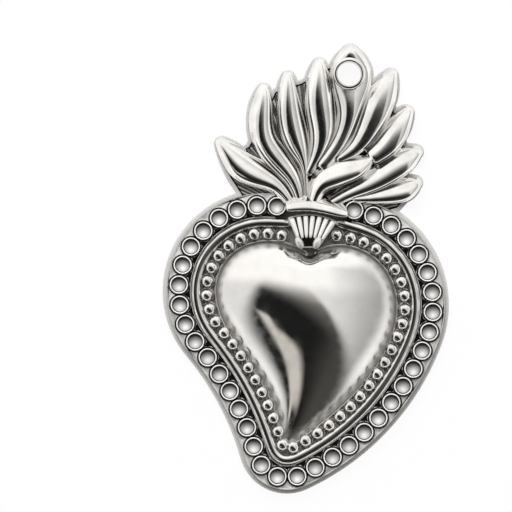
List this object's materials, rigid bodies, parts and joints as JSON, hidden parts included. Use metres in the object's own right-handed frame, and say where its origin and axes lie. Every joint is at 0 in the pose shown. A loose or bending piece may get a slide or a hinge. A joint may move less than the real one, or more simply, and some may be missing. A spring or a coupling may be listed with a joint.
{
  "type": "milagro charm",
  "caption": "Flaming sacred-heart charm in antiqued silver: a puffed heart in a beaded surround, a border of dished cups, a fluted collar and curling flames with a hanging hole.",
  "frame": {"origin": "middle of the charm's outline, on the back face it lies on", "axes": "+Z out of the decorated face, +Y up the flames to the hanging hole, +X to the right as seen from the front"},
  "size_m": [0.0371, 0.0584, 0.0054],
  "materials": {
    "polished_silver": "polished",
    "satin_silver": "satin",
    "oxidised_silver": "antiqued"
  },
  "bodies": {
    "root": {"heart_dome": "polished_silver", "dome_bezel": "polished_silver", "ridge_wire": "polished_silver", "granule_beads": "polished_silver", "collar_lip": "polished_silver", "collar_ribs": "polished_silver", "hanging_eyelet": "polished_silver", "flame_far_left": "polished_silver", "flame_left": "polished_silver", "flame_inner_left": "polished_silver", "flame_centre": "polished_silver", "flame_tall": "polished_silver", "flame_inner_right": "polished_silver", "flame_right": "polished_silver", "flame_low_right": "polished_silver", "flame_far_right": "polished_silver", "flame_front": "polished_silver", "border_cups": "satin_silver", "border_outer_rail": "satin_silver", "border_inner_rail": "satin_silver", "back_plate": "oxidised_silver", "collar_basket": "oxidised_silver"}
  },
  "joints": []
}
